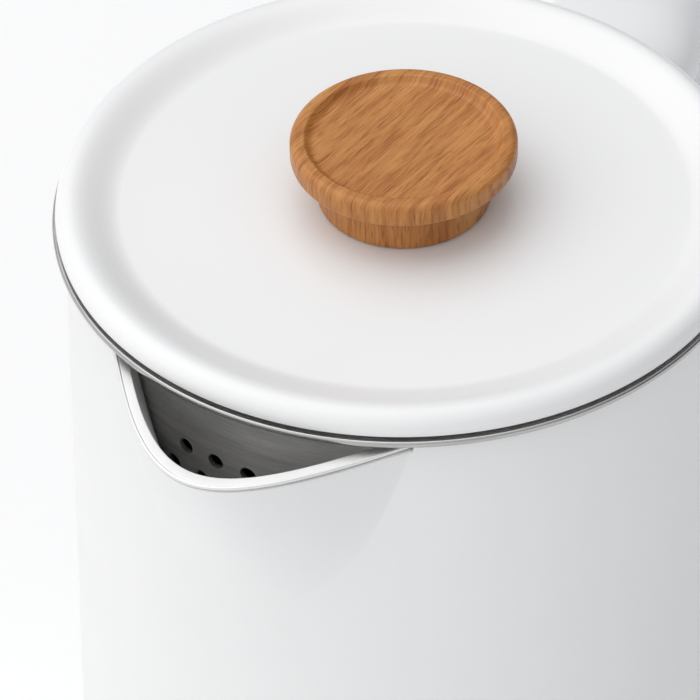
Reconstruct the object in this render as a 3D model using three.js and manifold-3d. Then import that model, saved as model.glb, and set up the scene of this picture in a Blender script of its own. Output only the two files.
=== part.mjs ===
// A cordless electric jug kettle: a power base, a double-walled jug with a beak spout and a loop
// handle, an on/off lever and a lift-off lid with a round knob.
// Millimetres, +Z up. The origin is on the jug's axis, on the plane the base stands on.
// The spout points to -Y and the handle to +Y. The object is symmetric about X = 0, apart from
// the steam tube and the screws inside the handle.
import * as THREE from "three";
import { mergeVertices } from "three/addons/utils/BufferGeometryUtils.js";
import Module from "manifold-3d";

const wasm = await Module();
wasm.setup();

// ---------------------------------------------------------------- driving dimensions
const GAP = 0.3; // clearance between pieces that touch
const LID_Z = 196.4; // the lid's lower edge
const LID_RADIUS = 70;
const RING_TOP = LID_Z - 0.4;
const RING_THICKNESS = 1.5;
const RING_RADIUS = 70.7;
const SHELL_TOP = RING_TOP - RING_THICKNESS - GAP;
const SHELL_BOTTOM = 15.6;
const SHELL_TOP_RADIUS = 68.4;
const SHELL_TAPER = 0.044; // growth of the radius for each millimetre down
const SHELL_WALL = 2;
const VESSEL_RADIUS = 65.5;
const VESSEL_WALL = 1;
const VESSEL_BOTTOM = 47;
const VESSEL_TOP = SHELL_TOP;
const RING_INNER = 64.8;

const LIP_Z = LID_Z - 3.2; // top of the steel lip's outer edge
const LIP_THICKNESS = 0.9;
const LIP_WIDTH = 3.5;
const BEAK_TIP = 88; // reach of the beak from the axis
const BEAK_BLUNTNESS = 37.3; // the larger it is, the blunter the tip, seen from above
const BEAK_STEEPNESS = 1.63; // slope of its sides, far from the tip
const BEAK_SPREAD = THREE.MathUtils.degToRad(28.8); // half the angle that the beak takes of the rim
const BEAK_DEPTH = 45;
const BEAK_FULLNESS = 2.7; // exponent of the beak's lower outline
const BEAK_SLOPE = 1.25; // exponent of its run down into the body

const HOLE_RADIUS = 1.75;
const HOLE_STEP = THREE.MathUtils.degToRad(6.5);
const HOLE_ROW_Z = 176;
const HOLE_ROW_STEP = 6.4;

const KNOB_RADIUS = 22.6;
const KNOB_NECK = 17.4;
const KNOB_TOP = LID_Z + 16.5;
const KNOB_DISC = 5.2; // thickness of its disc
const PANEL_Z = LID_Z + 1.4; // top of the lid's flat panel
const PANEL_WALL = 2;

const BASE_RADIUS = 78;
const BASE_TOP = 15;
const FOOT_HEIGHT = 2;
const TOWER_RADIUS = 16.4;
const TOWER_TOP = 27;

const HANDLE_WALL = 2.4;
const GRIP_HALF_WIDTH = 13;
const ROOT_EXTRA_WIDTH = 7; // how much wider each side of the upper arm is
const ROOT_START = 0.2; // where the arm starts to narrow to the grip, along the handle from 0 to 1
const ROOT_END = 0.34;
const TUBE_RADIUS = 2.6;
const TUBE_OFFSET = 4.6; // the steam tube runs beside the handle's screws
const SCREW_OFFSET = -3.6;
const LEVER_PIVOT = new THREE.Vector3(0, 66.5, 26);
const LEVER_WIDTH = 23;

const ROUND = 36; // segments of a large turned piece
const SMALL = 20; // segments of a small one

const WHITE = { color: 0xf4f4f3, roughness: 0.35, metalness: 0 };
const STEEL = { color: 0xc9cac8, roughness: 0.32, metalness: 1 };
const DARK_STEEL = { color: 0x8d8d8c, roughness: 0.4, metalness: 1 };
const WOOD = { color: 0xb9783f, roughness: 0.45, metalness: 0 };
const BLACK = { color: 0x1d1e20, roughness: 0.6, metalness: 0 };
const BRASS = { color: 0xc7a24c, roughness: 0.3, metalness: 1 };
const ALUMINIUM = { color: 0xb6b8ba, roughness: 0.45, metalness: 1 };
const SILICONE = { color: 0xd9dbdc, roughness: 0.7, metalness: 0 };
const RUBBER = { color: 0x3a3b3d, roughness: 0.85, metalness: 0 };

// ---------------------------------------------------------------- solids
const kettle = new THREE.Group();

// Adds a piece to the kettle from a manifold solid or a geometry.
function add(name, shape, look) {
  const geometry = shape.isBufferGeometry ? shape : geometryOf(shape);
  geometry.computeVertexNormals();
  const mesh = new THREE.Mesh(geometry, new THREE.MeshStandardMaterial(look));
  mesh.name = name;
  kettle.add(mesh);
}

// A closed geometry as a manifold solid, with its faces turned outwards.
function solid(geometry) {
  const flat = geometry.index ? geometry.toNonIndexed() : geometry.clone();
  const bare = new THREE.BufferGeometry();
  bare.setAttribute("position", flat.getAttribute("position"));
  const merged = mergeVertices(bare, 1e-4);
  const index = merged.index.array;
  const triVerts = [];
  for (let i = 0; i < index.length; i += 3) {
    const [a, b, c] = [index[i], index[i + 1], index[i + 2]];
    if (a !== b && b !== c && c !== a) triVerts.push(a, b, c);
  }
  const vertProperties = merged.attributes.position.array;
  if (signedVolume(vertProperties, triVerts) < 0) triVerts.reverse();
  const mesh = new wasm.Mesh({ numProp: 3, vertProperties, triVerts: new Uint32Array(triVerts) });
  return new wasm.Manifold(mesh);
}

function signedVolume(positions, triVerts) {
  const corner = (i) => new THREE.Vector3().fromArray(positions, 3 * triVerts[i]);
  let six = 0;
  for (let i = 0; i < triVerts.length; i += 3) {
    six += corner(i).dot(corner(i + 1).cross(corner(i + 2)));
  }
  return six / 6;
}

function geometryOf(manifold) {
  const { vertProperties, triVerts, numProp } = manifold.getMesh();
  const positions = new Float32Array((vertProperties.length / numProp) * 3);
  for (let i = 0; i < positions.length / 3; i += 1) {
    positions.set(vertProperties.subarray(i * numProp, i * numProp + 3), 3 * i);
  }
  const geometry = new THREE.BufferGeometry();
  geometry.setAttribute("position", new THREE.BufferAttribute(positions, 3));
  geometry.setIndex(new THREE.BufferAttribute(triVerts, 1));
  return geometry;
}

// A profile of [radius, z] points turned about Z. It ends on the axis, or closes on itself.
function turned(profile, segments = ROUND) {
  const points = profile.map(([r, z]) => new THREE.Vector2(r, z));
  const onAxis = profile[0][0] === 0 && profile.at(-1)[0] === 0;
  if (!onAxis) points.push(points[0].clone());
  return solid(new THREE.LatheGeometry(points, segments).rotateX(Math.PI / 2));
}

// Points on an arc in the [radius, z] plane, from one angle to another in degrees.
function arc(r, z, radius, from, to, steps = 4) {
  return Array.from({ length: steps + 1 }, (_, i) => {
    const angle = THREE.MathUtils.degToRad(from + ((to - from) * i) / steps);
    return [r + radius * Math.cos(angle), z + radius * Math.sin(angle)];
  });
}

function cylinder(radius, from, to, segments = 12) {
  const axis = new THREE.Vector3().subVectors(to, from);
  const geometry = new THREE.CylinderGeometry(radius, radius, axis.length(), segments);
  const up = new THREE.Vector3(0, 1, 0);
  geometry.applyQuaternion(new THREE.Quaternion().setFromUnitVectors(up, axis.clone().normalize()));
  geometry.translate(...new THREE.Vector3().addVectors(from, to).multiplyScalar(0.5).toArray());
  return solid(geometry);
}

// A box between two corners, with its edges along the axes.
function block(low, high) {
  const size = high.map((value, i) => value - low[i]);
  const geometry = new THREE.BoxGeometry(...size);
  geometry.translate(...low.map((value, i) => value + size[i] / 2));
  return solid(geometry);
}

// Joins a row of equal closed outlines into one solid: in a ring, or with a cap at each end.
function loft(outlines, inRing) {
  const count = outlines[0].length;
  const positions = outlines.flat().flatMap((p) => [p.x, p.y, p.z]);
  const index = [];
  const spans = inRing ? outlines.length : outlines.length - 1;
  for (let s = 0; s < spans; s += 1) {
    const here = s * count;
    const next = ((s + 1) % outlines.length) * count;
    for (let i = 0; i < count; i += 1) {
      const j = (i + 1) % count;
      index.push(here + i, here + j, next + j, here + i, next + j, next + i);
    }
  }
  if (!inRing) {
    const last = (outlines.length - 1) * count;
    for (const [a, b, c] of capTriangles(outlines[0])) index.push(a, c, b);
    for (const [a, b, c] of capTriangles(outlines.at(-1))) index.push(last + a, last + b, last + c);
  }
  const geometry = new THREE.BufferGeometry();
  geometry.setAttribute("position", new THREE.Float32BufferAttribute(positions, 3));
  geometry.setIndex(index);
  return solid(geometry);
}

// The triangles of a flat outline, wound the way the outline goes.
function capTriangles(outline) {
  const normal = new THREE.Vector3();
  outline.forEach((p, i) => normal.add(p.clone().cross(outline[(i + 1) % outline.length])));
  normal.normalize();
  const u = new THREE.Vector3().subVectors(outline[1], outline[0]).normalize();
  const v = new THREE.Vector3().crossVectors(normal, u);
  const flat = outline.map((p) => new THREE.Vector2(p.dot(u), p.dot(v)));
  return THREE.ShapeUtils.triangulateShape(flat, []);
}

// A point at an angle from the spout, positive towards +X.
function polar(angle, radius, z) {
  return new THREE.Vector3(radius * Math.sin(angle), -radius * Math.cos(angle), z);
}

// ---------------------------------------------------------------- body and beak
function bodyRadius(z) {
  return SHELL_TOP_RADIUS + SHELL_TAPER * (SHELL_TOP - z);
}

// The beak seen from above is a hyperbola, blunt at the tip and nearly straight along its sides.
// This is its distance from the axis at an angle, for the hyperbola moved inwards by inset.
function beakRadius(angle, inset) {
  const blunt = BEAK_BLUNTNESS - inset * (Math.hypot(1, BEAK_STEEPNESS) - 1);
  const middle = BEAK_TIP - inset + blunt;
  const [side, ahead] = [BEAK_STEEPNESS * Math.sin(angle), Math.cos(angle)];
  const room = middle ** 2 - blunt ** 2;
  const root = Math.sqrt((middle * ahead) ** 2 + (side ** 2 - ahead ** 2) * room);
  return room / (middle * ahead + root);
}

// How much of the beak's reach is left at a height: 1 at the lip, 0 where it meets the body.
function beakShare(angle, z) {
  const across = Math.min(1, Math.abs(angle) / BEAK_SPREAD);
  const depth = BEAK_DEPTH * (1 - across ** BEAK_FULLNESS);
  const left = 1 - (LIP_Z - z) / Math.max(depth, 0.01);
  return THREE.MathUtils.clamp(left, 0, 1) ** BEAK_SLOPE;
}

function shellRadius(angle, z, inset) {
  const body = bodyRadius(z) - inset;
  const reach = Math.abs(angle) < BEAK_SPREAD ? beakRadius(angle, inset) - bodyRadius(LIP_Z) + inset : 0;
  return body + Math.max(0, reach) * beakShare(angle, z);
}

function shellTopAt(angle) {
  return Math.abs(angle) < BEAK_SPREAD + 0.001 ? LIP_Z - LIP_THICKNESS - 0.5 : SHELL_TOP;
}

// Angles around the body, closer together across the beak.
function bodyAngles() {
  const beak = Array.from({ length: 23 }, (_, i) => BEAK_SPREAD * (i / 11 - 1));
  const shoulder = BEAK_SPREAD + THREE.MathUtils.degToRad(0.8);
  const rest = 2 * (Math.PI - shoulder);
  const others = Array.from({ length: 37 }, (_, i) => shoulder + (rest * i) / 36);
  return [...beak, ...others];
}

function shellOutline(angle) {
  const beakRows = Array.from({ length: 9 }, (_, i) => LIP_Z - BEAK_DEPTH + 5 * i);
  const rows = [SHELL_BOTTOM, 80, ...beakRows, shellTopAt(angle)];
  const outer = rows.map((z) => polar(angle, shellRadius(angle, z, 0), z));
  const innerRows = rows.filter((_, i) => i < 2 || i % 2 === 1);
  const inner = innerRows.map((z) => polar(angle, shellRadius(angle, z, SHELL_WALL), z));
  return [...outer, ...inner.reverse()];
}

const BOSS_ANGLES = [0, 120, 240].map(THREE.MathUtils.degToRad);
const BOSS_RADIUS = 67;
const BOSS_BOTTOM = 18.8;
const BOSS_TOP = 32;

function outerShell() {
  let shell = loft(bodyAngles().map(shellOutline), true);
  for (const angle of BOSS_ANGLES) {
    const at = (z) => polar(angle, BOSS_RADIUS, z);
    const web = block([-1.5, -1.5, BOSS_BOTTOM], [1.5, 8, BOSS_TOP]);
    shell = shell.add(cylinder(4, at(BOSS_BOTTOM), at(BOSS_TOP), 12)).add(placedAt(web, angle, BOSS_RADIUS));
    shell = shell.subtract(cylinder(1.7, at(10), at(28), 8));
  }
  shell = shell.subtract(block([-13, 60, 20], [13, 90, 33]).subtract(block([-20, 0, 0], [20, 69.5, 99])));
  const upper = new THREE.Vector3(TUBE_OFFSET, 60, ARM_TOP_Z);
  shell = shell.subtract(cylinder(4, upper, upper.clone().setY(82), 10));
  return shell.subtract(block([TUBE_OFFSET - 4, 60, ARM_LOW_Z - 7], [TUBE_OFFSET + 4, 82, ARM_LOW_Z + 4]));
}

// Turns a solid about Z so that its +Y side faces outwards at an angle, at a distance from the axis.
function placedAt(shape, angle, radius) {
  const degrees = THREE.MathUtils.radToDeg(angle) + 180;
  return shape.translate([0, radius, 0]).rotate([0, 0, degrees]);
}

function innerVessel() {
  const inner = VESSEL_RADIUS - VESSEL_WALL;
  const floor = VESSEL_BOTTOM + VESSEL_WALL;
  let vessel = turned([
    [0, VESSEL_BOTTOM],
    ...arc(VESSEL_RADIUS - 6, VESSEL_BOTTOM + 6, 6, -90, 0, 3),
    [VESSEL_RADIUS, VESSEL_TOP],
    [inner, VESSEL_TOP],
    ...arc(inner - 5, floor + 5, 5, 0, -90, 3),
    [0, floor],
  ]);
  for (let row = 0; row < 3; row += 1) {
    const count = 5 + (row % 2);
    for (let i = 0; i < count; i += 1) {
      const angle = (i - (count - 1) / 2) * HOLE_STEP;
      const z = HOLE_ROW_Z - row * HOLE_ROW_STEP;
      vessel = vessel.subtract(cylinder(HOLE_RADIUS, polar(angle, 60, z), polar(angle, 70, z), 10));
    }
  }
  const vent = new THREE.Vector3(TUBE_OFFSET, 0, ARM_TOP_Z);
  const from = vent.clone().setY(58);
  const to = vent.clone().setY(70);
  return vessel.subtract(cylinder(TUBE_RADIUS + GAP, from, to, 12));
}

function rimRing() {
  const middle = RING_TOP - RING_THICKNESS / 2;
  return turned([
    [RING_INNER, RING_TOP],
    [RING_INNER, RING_TOP - RING_THICKNESS],
    [RING_RADIUS - 0.7, RING_TOP - RING_THICKNESS],
    ...arc(RING_RADIUS - 0.6, middle, 0.6, -60, 60, 3),
    [RING_RADIUS - 0.7, RING_TOP],
  ]);
}

// The steel lining of the beak: a thin sheet up the inside of the beak, folded out into the lip.
const VESSEL_SIDE = VESSEL_RADIUS + 0.5;
const LINING_SPREAD = THREE.MathUtils.degToRad(25);

function funnelOutline(angle) {
  const inner = Math.max(beakRadius(angle, LIP_WIDTH), VESSEL_SIDE);
  const edge = beakRadius(angle, 0.35);
  const across = Math.min(1, Math.abs(angle) / LINING_SPREAD);
  const depth = Math.max(0.2, 0.88 * BEAK_DEPTH * (1 - across ** BEAK_FULLNESS));
  const steps = [1, 0.75, 0.5, 0.25];
  const face = (share, offset) => {
    const z = LIP_Z - LIP_THICKNESS - depth * share;
    const reach = (inner - VESSEL_SIDE) * (1 - 0.88 * share) ** BEAK_SLOPE;
    return polar(angle, VESSEL_SIDE + reach + offset, z);
  };
  return [
    ...steps.map((share) => face(share, 0)),
    polar(angle, inner, LIP_Z - 0.4),
    polar(angle, edge - 0.5, LIP_Z),
    polar(angle, edge, LIP_Z - 0.3),
    polar(angle, edge - 0.1, LIP_Z - LIP_THICKNESS),
    polar(angle, inner + 0.6, LIP_Z - LIP_THICKNESS),
    ...steps.toReversed().map((share) => face(share, 0.6)),
  ];
}

function spoutFunnel() {
  const span = BEAK_SPREAD - THREE.MathUtils.degToRad(0.4);
  const angles = Array.from({ length: 25 }, (_, i) => span * (i / 12 - 1));
  return loft(angles.map(funnelOutline), false);
}

// ---------------------------------------------------------------- handle
const ARM_TOP_Z = LID_Z - 31.4;
const ARM_LOW_Z = 62;
const HANDLE_ROUTE = new THREE.CatmullRomCurve3(
  [
    [52, ARM_TOP_Z],
    [72, ARM_TOP_Z],
    [92, ARM_TOP_Z],
    [111, ARM_TOP_Z - 0.5],
    [125, ARM_TOP_Z - 5],
    [133, ARM_TOP_Z - 18],
    [134, ARM_TOP_Z - 42],
    [129, ARM_TOP_Z - 70],
    [117, ARM_LOW_Z + 9],
    [97, ARM_LOW_Z + 0.8],
    [74, ARM_LOW_Z],
    [56, ARM_LOW_Z],
  ].map(([y, z]) => new THREE.Vector3(0, y, z)),
  false,
  "centripetal",
);
const HANDLE_STEPS = 24;

// Half the handle's width and half its thickness, along its length from 0 to 1.
function handleHalfSizes(t) {
  const root = 1 - THREE.MathUtils.smoothstep(t, ROOT_START, ROOT_END);
  return [GRIP_HALF_WIDTH + ROOT_EXTRA_WIDTH * root, 9 + 1.5 * (1 - t)];
}

// Points along part of a rounded oblong, by angle in degrees.
function oblong(halfWidth, halfHeight, from, to, steps) {
  const power = 2 / 2.6;
  return Array.from({ length: steps + 1 }, (_, i) => {
    const angle = THREE.MathUtils.degToRad(from + ((to - from) * i) / steps);
    const [c, s] = [Math.cos(angle), Math.sin(angle)];
    const [across, up] = [Math.abs(c) ** power, Math.abs(s) ** power];
    return [halfWidth * Math.sign(c) * across, halfHeight * Math.sign(s) * up];
  });
}

// A trough along the handle's route, whose wall follows part of the oblong.
function handleTrough(from, to, steps) {
  const outlines = [];
  for (let i = 0; i <= HANDLE_STEPS; i += 1) {
    const t = i / HANDLE_STEPS;
    const [a, b] = handleHalfSizes(t);
    const outer = oblong(a, b, from, to, steps);
    const inner = oblong(a - HANDLE_WALL, b - HANDLE_WALL, to, from, steps);
    outlines.push([...outer, ...inner].map(([u, v]) => handlePoint(t, u, v)));
  }
  return loft(outlines, false).subtract(bodyCone(GAP));
}

// A point beside the handle's route: u to the side, v away from the finger gap.
function handlePoint(t, u, v) {
  const at = HANDLE_ROUTE.getPointAt(t);
  const along = HANDLE_ROUTE.getTangentAt(t);
  return new THREE.Vector3(u, at.y - v * along.z, at.z + v * along.y);
}

function bodyCone(clearance) {
  return turned([
    [0, 0],
    [bodyRadius(0) + clearance, 0],
    [bodyRadius(SHELL_TOP) + clearance, SHELL_TOP],
    [0, SHELL_TOP],
  ]);
}

const HANDLE_SCREWS = [0.37, 0.63];
const SCREW_RECESS = 0.9; // how deep the handle's screw heads lie
const SCREW_HEAD = 1.3;

function screwLine(t, from, to) {
  return [handlePoint(t, SCREW_OFFSET, from), handlePoint(t, SCREW_OFFSET, to)];
}

function handleShell() {
  let shell = handleTrough(-14, 194, 12);
  for (const t of HANDLE_SCREWS) {
    shell = shell.add(cylinder(2.9, ...screwLine(t, -3, 8), 10));
    shell = shell.subtract(cylinder(1.5, ...screwLine(t, -9, 3.5), 8));
  }
  return shell;
}

function handleInnerCover() {
  let cover = handleTrough(197.5, 342.5, 9);
  for (const t of HANDLE_SCREWS) {
    const [, b] = handleHalfSizes(t);
    const seat = -b + SCREW_RECESS + SCREW_HEAD + 0.2;
    cover = cover.add(cylinder(4.2, ...screwLine(t, -b + 1, seat + 2.2), 12));
    cover = cover.subtract(cylinder(3, ...screwLine(t, -b - 3, seat), 12));
    cover = cover.subtract(cylinder(1.5, ...screwLine(t, -b, -3), 8));
  }
  return cover;
}

function handleScrew(t) {
  const [, b] = handleHalfSizes(t);
  const face = -b + SCREW_RECESS;
  const head = cylinder(2.6, ...screwLine(t, face, face + SCREW_HEAD), 10);
  return head.add(cylinder(1.2, ...screwLine(t, face + 0.5, 2.8), 8));
}

function steamTube() {
  const inHandle = Array.from({ length: 13 }, (_, i) => handlePoint(0.14 + 0.06 * i, TUBE_OFFSET, 0));
  const toControl = [
    [79, ARM_LOW_Z - 0.2],
    [71.8, ARM_LOW_Z - 1.8],
    [68.4, ARM_LOW_Z - 7],
    [68.3, ARM_LOW_Z - 13],
    [64, ARM_LOW_Z - 20.5],
    [54, ARM_LOW_Z - 26],
  ].map(([y, z]) => new THREE.Vector3(TUBE_OFFSET, y, z));
  const points = [new THREE.Vector3(TUBE_OFFSET, 63, ARM_TOP_Z), ...inHandle, ...toControl];
  const ring = new THREE.Shape().absarc(0, 0, TUBE_RADIUS, 0, 2 * Math.PI);
  ring.holes.push(new THREE.Path().absarc(0, 0, TUBE_RADIUS - 0.8, 0, 2 * Math.PI, true));
  const extrudePath = new THREE.CatmullRomCurve3(points, false, "centripetal");
  return solid(new THREE.ExtrudeGeometry(ring, { steps: 24, curveSegments: 4, extrudePath }));
}

// ---------------------------------------------------------------- heater and control
const HEATER_TOP = VESSEL_BOTTOM - GAP;
const HEATER_THICKNESS = 3;
const HEATER_RADIUS = 50;
const ELEMENT_BEND = 40; // radius of the element's loop
const ELEMENT_Z = HEATER_TOP - HEATER_THICKNESS - GAP - 3.5;
const COUPLER_TOP = 31;
const CONTROL_TOP = 41;

function heaterPlate() {
  const bottom = HEATER_TOP - HEATER_THICKNESS;
  return turned([
    [0, bottom],
    [HEATER_RADIUS, bottom],
    [HEATER_RADIUS, HEATER_TOP],
    [0, HEATER_TOP],
  ]);
}

function heatingElement() {
  const section = new THREE.Shape().absarc(0, 0, 3.5, 0, 2 * Math.PI);
  const points = [];
  for (let degrees = -150; degrees <= 150; degrees += 15) {
    points.push(polar(THREE.MathUtils.degToRad(degrees), ELEMENT_BEND, ELEMENT_Z));
  }
  const extrudePath = new THREE.CatmullRomCurve3(points);
  return solid(new THREE.ExtrudeGeometry(section, { steps: 24, curveSegments: 4, extrudePath }));
}

function elementTerminal(side) {
  const end = polar(side * THREE.MathUtils.degToRad(154), ELEMENT_BEND, ELEMENT_Z);
  return cylinder(1.6, end.clone().setZ(ELEMENT_Z - 9), end.clone().setZ(ELEMENT_Z + 2), 10);
}

function controlUnit() {
  const body = turned([
    [0, COUPLER_TOP + GAP],
    [27, COUPLER_TOP + GAP],
    [30, COUPLER_TOP + 3],
    [30, CONTROL_TOP - 1.5],
    [28.5, CONTROL_TOP],
    [0, CONTROL_TOP],
  ], SMALL);
  return body.add(block([-9, 20, COUPLER_TOP + 1], [9, 52, COUPLER_TOP + 7]));
}

// The jug's half of the coupler: a cup over the base's tower, with a flange on the bottom cover.
function jugCoupler() {
  return turned([
    [0, TOWER_TOP + 2],
    [17.3, TOWER_TOP + 2],
    [17.3, 16.6],
    [20.4, 16.6],
    [20.4, 18.7],
    [27, 18.7],
    [27, 20.7],
    [21, 20.7],
    [21, COUPLER_TOP],
    [0, COUPLER_TOP],
  ], SMALL);
}

const CONTACT_TOP = TOWER_TOP + 2 - GAP;
const OUTER_CONTACT = 12.2;
const INNER_CONTACT = 5.9;
const CONTACT_WALL = 0.8;

function contactRing(radius, bottom, top) {
  return turned([
    [radius, bottom],
    [radius + CONTACT_WALL, bottom],
    [radius + CONTACT_WALL, top],
    [radius, top],
  ], SMALL);
}

function earthPin() {
  return turned([
    [0, 19],
    [1.2, 19.4],
    [2, 20.5],
    [2, CONTACT_TOP],
    [0, CONTACT_TOP],
  ], 12);
}

function bottomCover() {
  let cover = turned([
    [22.2, 16],
    [72.8, 16],
    [73.6, 16.8],
    [73.6, 18.4],
    [22.2, 18.4],
  ]);
  for (const angle of BOSS_ANGLES) {
    const at = (z) => polar(angle, BOSS_RADIUS, z);
    cover = cover.subtract(cylinder(1.7, at(10), at(19), 8));
    cover = cover.subtract(cylinder(3.3, at(10), at(17.2), 12));
  }
  for (const x of [-15.6, 13.6]) {
    cover = cover.add(block([x, 60.5, 17], [x + 2, 68.5, 29]));
  }
  const pin = LEVER_PIVOT.clone().setX(-20);
  return cover.subtract(cylinder(1.8, pin, pin.clone().setX(20), 12)).subtract(leverWell());
}

// Room under the lever's inner end.
function leverWell() {
  return block([-12.5, 69.5, 10], [12.5, 80, 19]);
}

function switchLever() {
  const side = new THREE.Shape();
  side.moveTo(49, 25.4);
  side.lineTo(62, 24.2);
  side.lineTo(84, 24.6);
  side.quadraticCurveTo(86.5, 25, 86.5, 27);
  side.quadraticCurveTo(86.4, 29.6, 84, 29.6);
  side.quadraticCurveTo(80, 28.6, 74, 28.8);
  side.lineTo(69, 29.2);
  side.lineTo(64, 29.2);
  side.lineTo(49, 27.8);
  side.closePath();
  const geometry = new THREE.ExtrudeGeometry(side, {
    depth: LEVER_WIDTH,
    bevelEnabled: false,
    curveSegments: 4,
  });
  // The outline's X and Y become the object's Y and Z, and its depth becomes X.
  const upright = new THREE.Matrix4().set(0, 0, 1, 0, 1, 0, 0, 0, 0, 1, 0, 0, 0, 0, 0, 1);
  geometry.applyMatrix4(upright).translate(-LEVER_WIDTH / 2, 0, 0);
  const pin = LEVER_PIVOT.clone().setX(-20);
  return solid(geometry).subtract(cylinder(1.8, pin, pin.clone().setX(20), 12));
}

function switchPivotPin() {
  const from = LEVER_PIVOT.clone().setX(-16.5);
  return cylinder(1.5, from, LEVER_PIVOT.clone().setX(16.5), 12);
}

// A countersunk screw pointing up, with its head's underside at z.
function screw(x, y, z, length, headRadius = 2.9, shankRadius = 1.3) {
  const profile = [
    [0, z - 1.4],
    [headRadius - 0.6, z - 1.4],
    [headRadius, z - 0.8],
    [headRadius, z],
    [shankRadius, z],
    [shankRadius, z + length - 1],
    [0, z + length],
  ];
  return turned(profile, 10).translate([x, y, 0]);
}

// ---------------------------------------------------------------- lid
const LID_RIM_RADIUS = 3.6;

function lidCover() {
  const edge = LID_RADIUS - LID_RIM_RADIUS;
  const middle = LID_Z + 1;
  return turned([
    [2.3, PANEL_Z - PANEL_WALL],
    [61.4, PANEL_Z - PANEL_WALL],
    [62.4, LID_Z],
    [LID_RADIUS - 1.2, LID_Z],
    ...arc(edge, middle, LID_RIM_RADIUS, -10, 90, 5),
    [64.2, middle + 3.3],
    [61.8, middle + 2],
    [59.6, middle + 0.9],
    [57.5, PANEL_Z],
    [2.3, PANEL_Z],
  ]);
}

function lidInsert() {
  const top = PANEL_Z - PANEL_WALL - GAP;
  return turned([
    [0, 185.8],
    [59.4, 185.8],
    [61.2, 187.6],
    [61.2, top],
    [59.8, top],
    [59.8, 188.4],
    [58.6, 187.2],
    [0, 187.2],
  ]);
}

function lidSeal() {
  return turned([
    [61.5, 189],
    [62.4, 189],
    [64.1, 190.2],
    [62.7, 190.4],
    [62.7, 191.4],
    [64.1, 192.2],
    [62.4, 193.2],
    [61.5, 193.2],
  ]);
}

function knob() {
  const underside = KNOB_TOP - KNOB_DISC;
  const side = KNOB_RADIUS - 1.2;
  return turned([
    [0, PANEL_Z + 8.4],
    [1.8, PANEL_Z + 8.4],
    [1.8, PANEL_Z + GAP],
    [KNOB_NECK - 0.5, PANEL_Z + GAP],
    [KNOB_NECK, PANEL_Z + 1],
    [KNOB_NECK, underside - 0.8],
    [KNOB_NECK + 0.8, underside],
    ...arc(side, underside + 1.2, 1.2, -90, 0, 3),
    ...arc(side, KNOB_TOP - 1.2, 1.2, 0, 90, 3),
    [KNOB_RADIUS - 2.6, KNOB_TOP],
    [KNOB_RADIUS - 4, KNOB_TOP - 1.3],
    [0, KNOB_TOP - 1.5],
  ], ROUND);
}

function knobWasher() {
  const top = PANEL_Z - PANEL_WALL - GAP;
  return turned([
    [2, top - 0.8],
    [5.5, top - 0.8],
    [5.5, top],
    [2, top],
  ], SMALL);
}

// ---------------------------------------------------------------- power base
const BASE_SCREW_ANGLES = [0, 120, 240].map(THREE.MathUtils.degToRad);
const BASE_SCREW_RADIUS = 54; // distance of the screws from the axis
const FOOT_ANGLES = [45, 135, 225, 315].map(THREE.MathUtils.degToRad);
const FOOT_RADIUS = 64;

function baseCover() {
  let cover = turned([
    [17.4, BASE_TOP - 2.2],
    [BASE_RADIUS - 4, BASE_TOP - 2.2],
    [BASE_RADIUS - 2.2, BASE_TOP - 4],
    [BASE_RADIUS - 2.2, 3],
    [BASE_RADIUS, 3],
    ...arc(BASE_RADIUS - 3, BASE_TOP - 3, 3, 0, 90, 4),
    [17.4, BASE_TOP],
  ]);
  for (const angle of BASE_SCREW_ANGLES) {
    const at = (z) => polar(angle, BASE_SCREW_RADIUS, z);
    cover = cover.add(cylinder(3.6, at(6.2), at(BASE_TOP - 1.5), 12));
    cover = cover.subtract(cylinder(1.6, at(4), at(12.2), 8));
  }
  return cover.subtract(block([-5.3, 60, 0], [5.3, 90, 9.8]));
}

// The plate that closes the base, with a channel around its middle where spare cord is wound.
function basePlate() {
  let plate = turned([
    [0, FOOT_HEIGHT],
    [20, FOOT_HEIGHT],
    [20, 7.6],
    [40, 7.6],
    [40, FOOT_HEIGHT],
    [BASE_RADIUS - 3, FOOT_HEIGHT],
    [BASE_RADIUS - 2.5, FOOT_HEIGHT + 0.5],
    [BASE_RADIUS - 2.5, 4.4],
    [42, 4.4],
    [42, 9.4],
    [18, 9.4],
    [18, 4],
    [0, 4],
  ]);
  for (const angle of BASE_SCREW_ANGLES) {
    const at = (z) => polar(angle, BASE_SCREW_RADIUS, z);
    plate = plate.subtract(cylinder(1.7, at(0), at(8), 8));
    plate = plate.subtract(cylinder(3.4, at(0), at(3.3), 12));
  }
  return plate.subtract(block([-3.5, 36, 0], [3.5, 62, 3.2])).subtract(block([-5.3, 62, 0], [5.3, 90, 9.8]));
}

// The base's half of the coupler: a tower with two ring slots and a socket in the middle.
function baseCoupler() {
  const slot = 17;
  const flange = BASE_TOP - 2.2 - GAP;
  return turned([
    [0, 10],
    [20, 10],
    [20, flange],
    [TOWER_RADIUS, flange],
    [TOWER_RADIUS, TOWER_TOP - 0.8],
    [TOWER_RADIUS - 0.8, TOWER_TOP],
    [14.2, TOWER_TOP],
    [14.2, slot],
    [10.8, slot],
    [10.8, TOWER_TOP],
    [8, TOWER_TOP],
    [8, slot],
    [4.5, slot],
    [4.5, TOWER_TOP],
    [2.5, TOWER_TOP],
    [2.5, slot],
    [0, slot],
  ], SMALL);
}

function cordGland() {
  const outline = new THREE.Shape();
  outline.absellipse(0, 6, 4.9, 3.4, 0, 2 * Math.PI);
  outline.holes.push(new THREE.Path().absarc(0, 6, 2.1, 0, 2 * Math.PI, true));
  const geometry = new THREE.ExtrudeGeometry(outline, { depth: 13, bevelEnabled: false, curveSegments: 5 });
  return solid(geometry.rotateX(Math.PI / 2).translate(0, 79, 0));
}

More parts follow.
